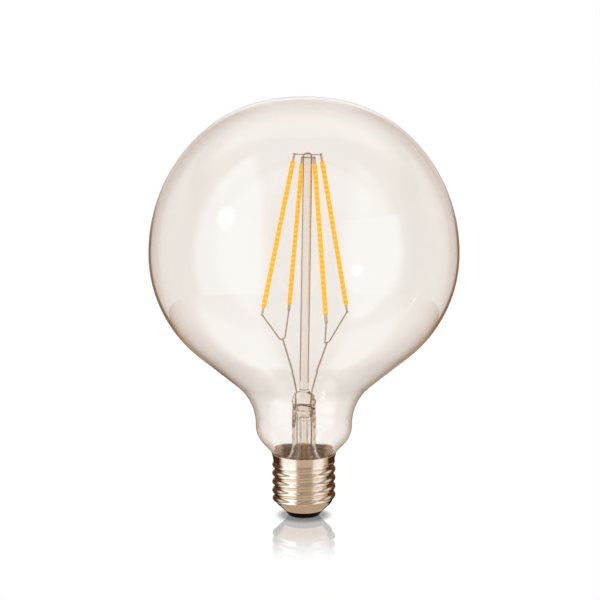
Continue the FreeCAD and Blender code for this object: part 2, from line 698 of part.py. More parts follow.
def cap_wire():
    """Wire from the board up the cap's wall, pressed against the shell by the cement."""
    wall_place = (TUBE_RADIUS + ROOT_DIAMETER / 2 - SHEET) / 2
    board_place = CAP_WIRE_SHARE * BOARD_RADIUS
    slant_foot = BOARD_TOP + CAP_WIRE_STRAIGHT
    places = [(board_place, BOARD_FOOT), (board_place, slant_foot),
              (wall_place, slant_foot + CAP_WIRE_SLANT), (wall_place, SEAL + CAP_WIRE_GRIP)]
    route = [polar(place, CAP_WIRE_TURN, height) for place, height in places]
    return bent_wire(route, CAP_WIRE_DIAMETER, CAP_WIRE_BEND)


def contact_wire():
    """Wire from the contact's shank up through the board."""
    return rod_between(Vector(0, 0, CONTACT_TOP), Vector(0, 0, BOARD_TOP), CONTACT_WIRE_DIAMETER)


def driver_board(fitted):
    """Round board with holes where pins and wires pass through it."""
    return Part.makeCylinder(BOARD_RADIUS, BOARD_THICKNESS, Vector(0, 0, BOARD_FOOT)).cut(fitted)


def build():
    """All pieces of the lamp by name."""
    filaments = {side: Filament(turn, CROSS_WIRE_DROP if side in ("back", "front") else 0.0)
                 for side, turn in FILAMENT_TURNS.items()}
    turns = {"left": PRESS_TURN + 180, "right": PRESS_TURN}
    pairs = {"left": ("left", "back"), "right": ("front", "right")}
    outer_cross = cross_wire(filaments["left"], filaments["right"])
    inner_cross = cross_wire(filaments["back"], filaments["front"])
    tops = {"left": outer_cross, "right": outer_cross, "back": inner_cross, "front": inner_cross}
    rod = leaned(centre_rod([outer_cross, inner_cross]))

    pieces = {"globe_envelope": globe_envelope(), "exhaust_tube": exhaust_tube(), "centre_rod": rod,
              "outer_cross_wire": leaned(outer_cross), "inner_cross_wire": leaned(inner_cross)}
    embedded = [rod]
    outer_leads = []
    for side, turn in turns.items():
        ends = [filaments[name] for name in pairs[side]]
        fork_wire = fork(*ends, turn)
        lead = leaned(inner_lead(turn, fork_wire))
        seal = seal_wire(turn, lead)
        outer_leads.append(outer_lead(turn))
        embedded += [lead, seal]
        pieces[f"{side}_fork"] = leaned(fork_wire)
        pieces[f"{side}_inner_lead"] = lead
        pieces[f"{side}_seal_wire"] = seal
        pieces[f"{side}_outer_lead"] = outer_leads[-1]
        for name in pairs[side]:
            filament = filaments[name]
            pieces[f"filament_{name}_coat"] = leaned(filament.coat())
            pieces[f"filament_{name}_carrier"] = leaned(filament.carrier())
            pieces[f"filament_{name}_top_tab"] = leaned(filament.top_tab(tops[name]))
            pieces[f"filament_{name}_foot_tab"] = leaned(filament.foot_tab(fork_wire))
    pieces["stem"] = stem(embedded)

    wire = cap_wire()
    fitted = {"smoothing_capacitor": capacitor(), "bridge_rectifier": rectifier(),
              "driver_chip": driver_chip(), "fuse_resistor": fuse_resistor(),
              "cap_wire": wire, "contact_wire": contact_wire()}
    pieces.update(fitted)
    pieces["driver_board"] = driver_board(list(fitted.values()) + outer_leads)
    pieces["cap_cement"] = cap_cement(wire)
    pieces["screw_shell"] = screw_shell()
    pieces["cap_insulator"] = insulator()
    pieces["centre_contact"] = centre_contact()
    return pieces


def main():
    """Builds every piece and writes it to its own file."""
    os.makedirs("parts", exist_ok=True)
    for name, shape in build().items():
        print(f"{name}: solids {len(shape.Solids)}, valid {shape.isValid()}, volume {shape.Volume:.2f}")
        shape.Solids[0].exportStep(f"parts/{name}.step")


main()
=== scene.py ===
"""Looks of a clear globe filament lamp: finishes, blown glass, filament coats, lamps, floor and camera.

Sizes in the dataclasses are millimetres and degrees in the lamp's own frame, with Z up its axis from the
centre contact's end face, X to the right and Y away from the viewer. Meshes are built in metres.
"""

import logging
import math
from collections.abc import Iterable, Mapping, Sequence
from dataclasses import dataclass, field
from enum import Enum

import bpy
from bpy.types import ID, Material, Mesh, Node, NodeSocket, NodeTree
from mathutils import Matrix, Vector


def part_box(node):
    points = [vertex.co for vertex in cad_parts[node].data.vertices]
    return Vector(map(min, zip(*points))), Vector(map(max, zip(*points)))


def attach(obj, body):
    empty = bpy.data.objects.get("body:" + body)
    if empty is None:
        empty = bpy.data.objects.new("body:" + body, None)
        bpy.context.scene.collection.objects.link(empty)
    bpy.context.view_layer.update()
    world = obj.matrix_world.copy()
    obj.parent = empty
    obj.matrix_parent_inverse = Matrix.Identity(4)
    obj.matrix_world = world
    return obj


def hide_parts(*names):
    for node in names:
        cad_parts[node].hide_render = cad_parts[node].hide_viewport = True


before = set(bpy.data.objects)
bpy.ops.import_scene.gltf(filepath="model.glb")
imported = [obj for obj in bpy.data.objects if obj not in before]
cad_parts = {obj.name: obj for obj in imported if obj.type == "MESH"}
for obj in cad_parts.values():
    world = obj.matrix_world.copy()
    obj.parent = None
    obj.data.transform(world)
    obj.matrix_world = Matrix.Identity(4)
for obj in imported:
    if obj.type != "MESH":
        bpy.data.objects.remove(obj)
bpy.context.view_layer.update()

log = logging.getLogger("globe_filament_lamp")

MM = 0.001
WHITE = (1.0, 1.0, 1.0)
GEOMETRY_TREE = "GeometryNodeTree"
WELD_DISTANCE = 1e-6
BUILD_SEED = 7
FULL_TURN = 2.0 * math.pi
QUARTER_TURN = math.pi / 2.0
NOISE_MIDDLE = 0.5
FINE_DETAIL = 3.0
WATTS_PER_RADIANCE = 4.0

Colour = tuple[float, float, float]
Station = tuple[float, float]
Edges = tuple[float, float]

CLOUD_EDGES: Edges = (0.3, 0.7)


class Slot(Enum):
    """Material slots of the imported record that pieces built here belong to."""

    CLEAR_GLASS = "clear_glass"
    PHOSPHOR_COAT = "phosphor_coat"


class LampShape(Enum):
    """Outline of a lamp's lit face."""

    RECTANGLE = "RECTANGLE"
    DISK = "DISK"


@dataclass(frozen=True, eq=False)
class Signal:
    """Value in a node tree that takes part in ordinary arithmetic."""

    graph: "Graph"
    socket: NodeSocket

    def __add__(self, other: "Signal | float") -> "Signal":
        """Sum."""
        return self.graph.maths("ADD", self, other)

    __radd__ = __add__

    def __sub__(self, other: "Signal | float") -> "Signal":
        """Difference."""
        return self.graph.maths("SUBTRACT", self, other)

    def __rsub__(self, other: float) -> "Signal":
        """Difference from a number on the left."""
        return self.graph.maths("SUBTRACT", other, self)

    def __mul__(self, other: "Signal | float") -> "Signal":
        """Product."""
        return self.graph.maths("MULTIPLY", self, other)

    __rmul__ = __mul__

    def __truediv__(self, other: "Signal | float") -> "Signal":
        """Quotient."""
        return self.graph.maths("DIVIDE", self, other)

    def __pow__(self, power: float) -> "Signal":
        """Power."""
        return self.graph.maths("POWER", self, power)

    def __neg__(self) -> "Signal":
        """Negative."""
        return self.graph.maths("MULTIPLY", self, -1.0)

    def __abs__(self) -> "Signal":
        """Absolute value."""
        return self.graph.maths("ABSOLUTE", self)

    def ramp(self, edges: Edges) -> "Signal":
        """Smooth step of this value.

        Args:
            edges: values where the step is 0 and where it is 1; the second is the lower for a falling step.

        Returns:
            The step, from 0 to 1.
        """
        node = self.graph.node("ShaderNodeMapRange", {"interpolation_type": "SMOOTHSTEP"},
                               {"Value": self, "From Min": edges[0], "From Max": edges[1]})
        return Signal(self.graph, node.outputs["Result"])


Feed = Signal | NodeSocket | float | Sequence[float] | ID | bool | int


@dataclass(frozen=True)
class Graph:
    """Node tree that nodes, arithmetic and colours are added to."""

    tree: NodeTree

    def node(self, kind: str, settings: Mapping[str, object] | None = None,
             inputs: Mapping[str | int, Feed] | None = None) -> Node:
        """Adds a node.

        Args:
            kind: node type.
            settings: attributes, set before the sockets.
            inputs: values or links, by socket name or position.

        Returns:
            The node.
        """
        node = self.tree.nodes.new(kind)
        for name, value in (settings or {}).items():
            setattr(node, name, value)
        self.fill(node, inputs or {})
        return node

    def fill(self, node: Node, inputs: Mapping[str | int, Feed]) -> None:
        """Links or sets several inputs of a node.

        Args:
            node: node.
            inputs: values or links, by socket name or position.
        """
        for key, value in inputs.items():
            self.feed(node.inputs[key], value)

    def feed(self, socket: NodeSocket, value: Feed) -> None:
        """Links a socket, or sets it when the value is constant.

        Args:
            socket: input socket.
            value: signal, socket or constant.
        """
        if isinstance(value, Signal):
            value = value.socket
        if isinstance(value, NodeSocket):
            self.tree.links.new(value, socket)
        elif socket.type == "RGBA":
            socket.default_value = (*value, 1.0)
        else:
            socket.default_value = value

    def output(self, node: Node, name: str) -> Signal:
        """Output of a node as a signal."""
        return Signal(self, node.outputs[name])

    def maths(self, operation: str, *values: "Signal | float") -> Signal:
        """Result of one Math node with the operands in order."""
        node = self.node("ShaderNodeMath", {"operation": operation}, dict(enumerate(values)))
        return Signal(self, node.outputs[0])

    def split(self, vector: NodeSocket) -> tuple[Signal, Signal, Signal]:
        """X, Y and Z of a vector."""
        node = self.node("ShaderNodeSeparateXYZ", None, {0: vector})
        return tuple(Signal(self, output) for output in node.outputs)

    def place(self) -> tuple[Signal, Signal, Signal]:
        """X, Y and Z of the shaded point in the lamp's frame, in millimetres."""
        coordinates = self.node("ShaderNodeTexCoord")
        return tuple(part / MM for part in self.split(coordinates.outputs["Object"]))

    def noise(self, scale: float, detail: float = 2.0) -> Signal:
        """Cloudy noise over the lamp.

        Args:
            scale: cells per metre.
            detail: octaves.

        Returns:
            The noise, near 0.5.
        """
        coordinates = self.node("ShaderNodeTexCoord")
        node = self.node("ShaderNodeTexNoise", None,
                         {"Vector": coordinates.outputs["Object"], "Scale": scale, "Detail": detail})
        return self.output(node, "Fac")

    def mix(self, share: "Signal | float", first: Feed, second: Feed) -> NodeSocket:
        """Mixes two colours.

        Args:
            share: 0 for the first and 1 for the second.
            first: colour or colour socket.
            second: colour or colour socket.

        Returns:
            The mixed colour.
        """
        node = self.node("ShaderNodeMix", {"data_type": "RGBA"})
        self.feed(node.inputs["Factor"], share)
        for end, colour in (("A_Color", first), ("B_Color", second)):
            self.feed(next(item for item in node.inputs if item.identifier == end), colour)
        return next(item for item in node.outputs if item.identifier == "Result_Color")

    def bump(self, height: Signal, depth: float) -> NodeSocket:
        """Normal bumped by a relief from 0 to 1 that is so many millimetres deep."""
        node = self.node("ShaderNodeBump", None, {"Height": height, "Distance": depth * MM})
        return node.outputs["Normal"]


@dataclass(frozen=True)
class Finish:
    """Opaque finish with faint unevenness, and a painted glow where one is set."""

    name: str
    colour: Colour
    roughness: float
    metallic: float = 0.0
    shade: float = 0.0
    grain: float = 400.0
    roughness_spread: float = 0.0
    relief: float = 0.0
    painted_glow: float = 0.0
    specular: float = 0.5

    def material(self) -> Material:
        """Builds the material once.

        Returns:
            The material.
        """
        known = bpy.data.materials.get(self.name)
        if known is not None:
            return known
        material = bpy.data.materials.new(self.name)
        material.use_nodes = True
        graph = Graph(material.node_tree)
        surface = material.node_tree.nodes["Principled BSDF"]
        self.dress(graph, surface)
        log.info("finish %s", self.name)
        return material

    def dress(self, graph: Graph, surface: Node) -> None:
        """Sets the surface node's sockets.

        Args:
            graph: material's tree.
            surface: Principled node.
        """
        noise = graph.noise(self.grain, FINE_DETAIL)
        darker = tuple(channel * (1.0 - self.shade) for channel in self.colour)
        graph.fill(surface, {"Base Color": graph.mix(noise.ramp(CLOUD_EDGES), darker, self.colour),
                             "Roughness": self.roughness + (noise - NOISE_MIDDLE) * self.roughness_spread,
                             "Metallic": self.metallic, "Specular IOR Level": self.specular})
        if self.relief:
            graph.fill(surface, {"Normal": graph.bump(noise, self.relief)})
        # painted glow: the surface shines in its own colour, though it is no lamp
        if self.painted_glow:
            graph.fill(surface, {"Emission Color": self.colour, "Emission Strength": self.painted_glow})


@dataclass(frozen=True)
class CementFinish(Finish):
    """Cement, darker in dabs round the cap, with a painted glow in the same colour."""

    dabs: int = 5
    # colour of the darker dabs
    thick: Colour = (0.08, 0.02, 0.0)
    unevenness: float = 1.2
    dab_edges: Edges = (0.9, -0.5)

    def dress(self, graph: Graph, surface: Node) -> None:
        """Sets the surface node's sockets.

        Args:
            graph: material's tree.
            surface: Principled node.
        """
        super().dress(graph, surface)
        x, y, _ = graph.place()
        wave = graph.maths("COSINE", graph.maths("ARCTAN2", x, y) * float(self.dabs))
        unevenness = (graph.noise(self.grain, FINE_DETAIL) - NOISE_MIDDLE) * self.unevenness
        colour = graph.mix((wave + unevenness).ramp(self.dab_edges), self.colour, self.thick)
        # the dabbed colour also feeds the painted glow
        graph.fill(surface, {"Base Color": colour, "Emission Color": colour})


@dataclass(frozen=True)
class GlassFinish(Finish):
    """Clear glass that takes colour with the length of the path through it."""

    absorption: Colour = (0.025, 0.04, 0.065)
    refraction: float = 1.5

    def dress(self, graph: Graph, surface: Node) -> None:
        """Sets the surface node's sockets and the absorption inside the glass.

        Args:
            graph: material's tree.
            surface: Principled node.
        """
        graph.fill(surface, {"Base Color": self.colour, "Roughness": self.roughness,
                             "IOR": self.refraction, "Transmission Weight": 1.0})
        strongest = max(self.absorption)
        tint = tuple(1.0 - rate / strongest for rate in self.absorption)
        volume = graph.node("ShaderNodeVolumeAbsorption", None,
                            {"Color": tint, "Density": strongest / MM})
        graph.fill(graph.tree.nodes["Material Output"], {"Volume": volume.outputs["Volume"]})


@dataclass(frozen=True)
class PhosphorFinish(Finish):
    """Soft phosphor coat with a row of light-emitting chips showing through it, and a painted glow."""

    core: Colour = (0.95, 0.42, 0.0)
    pitch: float = 2.05
    row_top: float = 146.0
    between_chips: float = 0.35
    chip_edges: Edges = (-0.8, 0.8)
    cloud: float = 0.5

    def dress(self, graph: Graph, surface: Node) -> None:
        """Sets the surface node's sockets.

        Args:
            graph: material's tree.
            surface: Principled node.
        """
        _, _, height = graph.place()
        wave = graph.maths("COSINE", (self.row_top - height) * (FULL_TURN / self.pitch))
        share = self.between_chips + wave.ramp(self.chip_edges) * (1.0 - self.between_chips)
        cloud = 1.0 + (graph.noise(self.grain) - NOISE_MIDDLE) * self.cloud
        chip = graph.mix(share * cloud, self.colour, self.core)
        # the chip colour also feeds the painted glow of the unlit coat
        graph.fill(surface, {"Base Color": chip, "Roughness": self.roughness, "Emission Color": chip,
                             "Emission Strength": self.painted_glow})


GLASS = GlassFinish("blown_glass_finish", WHITE, 0.0, absorption=(0.026, 0.044, 0.066))
STEM_GLASS = GlassFinish("stem_glass_finish", WHITE, 0.0, absorption=(0.014, 0.026, 0.04))
NICKEL = Finish("cap_nickel_finish", (0.95, 0.87, 0.75), 0.14, metallic=1.0, shade=0.08, grain=260.0,
                roughness_spread=0.08, relief=0.006)
CONTACT = Finish("contact_metal_finish", (0.62, 0.42, 0.24), 0.25, metallic=1.0, shade=0.2, grain=500.0,
                 roughness_spread=0.1, relief=0.01)
BLACK_GLASS = Finish("black_glass_finish", (0.006, 0.003, 0.002), 0.3, shade=0.3, roughness_spread=0.1,
                     relief=0.01, specular=0.01)
BRIGHT_WIRE = Finish("bright_wire_finish", (0.8, 0.6, 0.44), 0.35, metallic=0.5, shade=0.2, grain=700.0,
                     roughness_spread=0.15, relief=0.005)
TAB_METAL = Finish("tab_metal_finish", (0.85, 0.7, 0.52), 0.3, metallic=1.0, shade=0.2, grain=700.0,
                   roughness_spread=0.15, relief=0.005)
COPPER_WIRE = Finish("copper_wire_finish", (0.5, 0.3, 0.18), 0.3, metallic=1.0, shade=0.25, grain=700.0,
                     roughness_spread=0.15, relief=0.005)
# painted glow on the unlit phosphor coat
PHOSPHOR = PhosphorFinish("phosphor_coat_finish", (0.82, 0.57, 0.08), 0.6, grain=900.0, painted_glow=0.62)
CARRIER = Finish("carrier_ceramic_finish", (0.8, 0.74, 0.6), 0.5, shade=0.1, grain=900.0, relief=0.005)
# cement with a painted glow
CEMENT = CementFinish("cement_finish", (1.0, 0.52, 0.2), 0.85, shade=0.4, grain=420.0, relief=0.15,
                      painted_glow=0.2)
BOARD = Finish("board_finish", (0.05, 0.16, 0.07), 0.4, shade=0.3, grain=500.0, relief=0.01)
MOULDED = Finish("moulded_black_finish", (0.02, 0.02, 0.021), 0.55, shade=0.2, grain=1500.0, relief=0.02)
CAN_SLEEVE = Finish("can_sleeve_finish", (0.03, 0.035, 0.05), 0.3, shade=0.2, grain=300.0, relief=0.01)
RESISTOR = Finish("resistor_coat_finish", (0.3, 0.42, 0.5), 0.4, shade=0.1, grain=600.0, relief=0.02)
WIRE_SLEEVE = Finish("wire_sleeve_finish", (0.7, 0.7, 0.68), 0.4, shade=0.1, grain=600.0, relief=0.01)


@dataclass(frozen=True)
class Piece:
    """Mesh piece that is built here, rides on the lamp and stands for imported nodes."""

    name: str
    finish: Finish
    slot: Slot
    replaced: tuple[str, ...]

    def place(self, mesh: Mesh) -> None:
        """Adds the mesh to the scene as this piece.

        Args:
            mesh: finished mesh in the lamp's frame.
        """
        mesh.name = self.name
        mesh.materials.clear()
        mesh.materials.append(self.finish.material())
        piece = bpy.data.objects.new(self.name, mesh)
        bpy.context.scene.collection.objects.link(piece)
        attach(piece, "root")
        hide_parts(*self.replaced)
        log.info("piece %s: %d faces in place of %s", self.name, len(mesh.polygons), ", ".join(self.replaced))


def plain_mesh(vertices: Iterable[Vector], faces: Iterable[Sequence[int]], name: str) -> Mesh:
    """Mesh from millimetre points.

    Args:
        vertices: points in millimetres.
        faces: vertex numbers of each face, or of each edge when they are pairs.
        name: mesh name.

    Returns:
        Smooth-shaded mesh in metres.
    """
    mesh = bpy.data.meshes.new(name)
    pairs = [face for face in faces if len(face) == 2]
    rounds = [face for face in faces if len(face) > 2]
    mesh.from_pydata([vertex * MM for vertex in vertices], pairs, rounds)
    mesh.shade_smooth()
    mesh.validate()
    return mesh


def new_rule(name: str, inputs: Mapping[str, str]) -> tuple[Graph, Node]:
    """Starts a geometry rule.

    Args:
        name: name of the rule's tree.
        inputs: kind of each named input.

    Returns:
        The tree, and the node that carries its inputs.
    """
    tree = bpy.data.node_groups.new(name, GEOMETRY_TREE)
    for label, kind in inputs.items():
        tree.interface.new_socket(label, in_out="INPUT", socket_type=f"NodeSocket{kind}")
    tree.interface.new_socket("Piece", in_out="OUTPUT", socket_type="NodeSocketGeometry")
    graph = Graph(tree)
    return graph, graph.node("NodeGroupInput")


def close_rule(graph: Graph, mesh: NodeSocket, finish: NodeSocket) -> NodeTree:
    """Ends a geometry rule with a smooth and real mesh in its finish.

    Args:
        graph: rule's tree.
        mesh: output that carries the mesh.
        finish: output that carries the material.

    Returns:
        The geometry tree.
    """
    smooth = graph.node("GeometryNodeSetShadeSmooth", None, {"Geometry": mesh})
    real = graph.node("GeometryNodeRealizeInstances", None, {"Geometry": smooth.outputs["Geometry"]})
    finished = graph.node("GeometryNodeSetMaterial", None,
                          {"Geometry": real.outputs["Geometry"], "Material": finish})
    graph.node("NodeGroupOutput", None, {"Piece": finished.outputs["Geometry"]})
    return graph.tree


def rule_mesh(base: Mesh, tree: NodeTree, values: Mapping[str, object]) -> Mesh:
    """Runs a geometry rule on a mesh and keeps the plain result.

    Args:
        base: mesh that the rule starts from.
        tree: geometry tree.
        values: tree inputs by name.

    Returns:
        The evaluated mesh.
    """
    holder = bpy.data.objects.new(base.name, base)
    bpy.context.scene.collection.objects.link(holder)
    modifier = holder.modifiers.new("rule", "NODES")
    modifier.node_group = tree
    for item in tree.interface.items_tree:
        if item.in_out == "INPUT" and item.name in values:
            modifier[item.identifier] = values[item.name]
    graph = bpy.context.evaluated_depsgraph_get()
    mesh = bpy.data.meshes.new_from_object(holder.evaluated_get(graph))
    bpy.data.objects.remove(holder)
    return mesh


def outward(mesh: Mesh) -> None:
    """Turns a closed mesh so that its faces look out of the material.

    Args:
        mesh: closed mesh.
    """
    volume = 0.0
    mesh.calc_loop_triangles()
    for triangle in mesh.loop_triangles:
        first, second, third = (mesh.vertices[index].co for index in triangle.vertices)
        volume += first.dot(second.cross(third))
    if volume < 0.0:
        mesh.flip_normals()


def dress(finish: Finish, names: Iterable[str]) -> None:
    """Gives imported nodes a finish.

    Args:
        finish: finish for all of them.
        names: node names.
    """
    for name in names:
        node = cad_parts[name]
        node.data.materials.clear()
        node.data.materials.append(finish.material())
        log.info("node %s: %s", name, finish.name)


class Meridian:
    """Section drawn upwards as points, with every bend tangent to its neighbours."""

    def __init__(self, radius: float, height: float, heading: float = 0.0) -> None:
        """Starts the section.

        Args:
            radius: first radius.
            height: first height.
            heading: angle that the line leans outwards.
        """
        self.points: list[Station] = [(radius, height)]
        self.heading = math.radians(heading)

    def straight(self, length: float) -> None:
        """Adds a straight run of a length."""
        radius, height = self.points[-1]
        radius += length * math.sin(self.heading)
        self.points.append((radius, height + length * math.cos(self.heading)))

    def bend(self, radius: float, sweep: float, steps: int) -> None:
        """Adds an arc.

        Args:
            radius: radius of the arc.
            sweep: turn of the heading, outwards when positive.
            steps: chords of the arc.
        """
        reach = math.copysign(radius, sweep)
        start_radius, start_height = self.points[-1]
        centre_radius = start_radius + reach * math.cos(self.heading)
        centre_height = start_height - reach * math.sin(self.heading)
        for step in range(1, steps + 1):
            angle = self.heading + math.radians(sweep) * step / steps
            height = centre_height + reach * math.sin(angle)
            self.points.append((centre_radius - reach * math.cos(angle), height))
        self.heading += math.radians(sweep)


@dataclass(frozen=True)
class EnvelopeSize:
    """Sizes of the blown glass envelope."""

    globe_radius: float = 62.5
    crown_rise: float = 62.9
    crown_flattening: float = 1.4
    crown_flatness_power: int = 12
    wall: float = 1.0
    flank_radius: float = 52.6
    flank_sweep: float = 50.6
    fillet_radius: float = 22.0
    neck_radius: float = 19.8
    neck_length: float = 0.4
    shoulder_radius: float = 10.0
    shoulder_sweep: float = 42.0
    throat_radius: float = 3.0
    tube_radius: float = 11.2
    tube_length: float = 2.0
    segments: int = 240
    throat_steps: int = 10
    shoulder_steps: int = 20
    fillet_steps: int = 26
    flank_steps: int = 40
    crown_steps: int = 72
    turning_radius: float = 10.0


@dataclass(frozen=True)
class Envelope:
    """Blown glass globe, neck, shoulder and tube in one wall, turned from a meridian."""

    size: EnvelopeSize

    def run_between_bends(self, drop: float, sweep: float, *bends: float) -> float:
        """Straight run that is left of a radial drop after its bends.

        Args:
            drop: radial drop.
            sweep: lean of the run.
            bends: radii of the bends at its ends.

        Returns:
            Length of the run.
        """
        angle = math.radians(sweep)
        return (drop - sum(bends) * (1.0 - math.cos(angle))) / math.sin(angle)

    def outline(self, inset: float) -> list[Station]:
        """Meridian from the seal up to the crown.

        Args:
            inset: how far it lies inside the outer surface.

        Returns:
            Radius and height of each point.
        """
        size = self.size
        lowest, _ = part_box("globe_envelope")
        line = Meridian(size.tube_radius - inset, lowest[2] / MM)
        line.straight(size.tube_length)
        line.bend(size.throat_radius + inset, size.shoulder_sweep, size.throat_steps)
        shoulder_drop = size.neck_radius - size.tube_radius
        line.straight(self.run_between_bends(shoulder_drop, size.shoulder_sweep, size.throat_radius,
                                             size.shoulder_radius))
        line.bend(size.shoulder_radius - inset, -size.shoulder_sweep, size.shoulder_steps)
        line.straight(size.neck_length)
        line.bend(size.fillet_radius + inset, size.flank_sweep, size.fillet_steps)
        flank_drop = size.globe_radius - size.neck_radius
        line.straight(self.run_between_bends(flank_drop, size.flank_sweep, size.fillet_radius,
                                             size.flank_radius))
        line.bend(size.flank_radius - inset, -size.flank_sweep, size.flank_steps)
        radius, height = line.points[-1]
        for step in range(1, size.crown_steps + 1):
            angle = QUARTER_TURN * step / size.crown_steps
            flattening = size.crown_flattening * (1.0 - math.sin(angle) ** size.crown_flatness_power)
            rise = (size.crown_rise - inset + flattening) * math.sin(angle)
            line.points.append((radius * math.cos(angle), height + rise))
        return line.points

    def tree(self) -> NodeTree:
        """Geometry rule that turns a section round the lamp's axis.

        Returns:
            The geometry tree.
        """
        graph, given = new_rule("turned_from_section", {"Section": "Geometry", "Segments": "Int",
                                                        "Finish": "Material"})
        section = graph.node("GeometryNodeMeshToCurve", None, {"Mesh": given.outputs["Section"]})
        ring = graph.node("GeometryNodeCurvePrimitiveCircle", None,
                          {"Resolution": given.outputs["Segments"], "Radius": self.size.turning_radius * MM})
        turned = graph.node("GeometryNodeCurveToMesh", None,
                            {"Curve": ring.outputs["Curve"], "Profile Curve": section.outputs["Curve"]})
        closed = graph.node("GeometryNodeMergeByDistance", None,
                            {"Geometry": turned.outputs["Mesh"], "Distance": WELD_DISTANCE})
        return close_rule(graph, closed.outputs["Geometry"], given.outputs["Finish"])

    def build(self) -> None:
        """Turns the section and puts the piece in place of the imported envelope."""
        size = self.size
        wall = self.outline(0.0)[::-1] + self.outline(size.wall)
        points = [Vector((radius - size.turning_radius, -height, 0.0)) for radius, height in wall]
        edges = [(index, index + 1) for index in range(len(points) - 1)]
        section = plain_mesh(points, edges, "wall_section")
        mesh = rule_mesh(section, self.tree(), {"Segments": size.segments, "Finish": GLASS.material()})
        outward(mesh)
        Piece("blown_envelope", GLASS, Slot.CLEAR_GLASS, ("globe_envelope",)).place(mesh)


@dataclass(frozen=True)
class StemSize:
    """Sizes of the fused glass stem: flare, tube, press, rod and exhaust tube."""

    reach: float = 10.2
    seal: float = 21.705
    seal_band: float = 1.2
    flare_bend: float = 9.5
    tube_radius: float = 4.85
    wall: float = 1.1
    top: float = 44.0
    press_turn: float = -22.0
    ovals: tuple[tuple[float, float, float], ...] = ((0.0, 4.85, 4.85), (2.3, 4.85, 3.525),
                                                     (4.0, 5.075, 2.2), (5.7, 5.3, 2.2),
                                                     (7.7, 4.333, 2.2), (8.8, 2.4, 2.4))
    rod_radius: float = 1.9
    head: float = 149.95
    lean: float = 0.9
    rod_foot: float = 1.2
    melt: tuple[tuple[float, float], ...] = ((0.8, 0.05), (0.45, 0.16), (0.2, 0.32))
    funnel_rise: float = 1.2
    funnel_depth: float = 4.0
    exhaust_radius: float = 1.8
    exhaust_bore: float = 1.1
    exhaust_tip: float = 14.205
    port_drop: float = 0.6
    segments: int = 96
    head_steps: int = 14
    rod_steps: int = 24
    press_steps: int = 30
    flare_steps: int = 16
    funnel_steps: int = 12
    exhaust_steps: int = 9
    bore_steps: int = 11
    tip_steps: int = 9


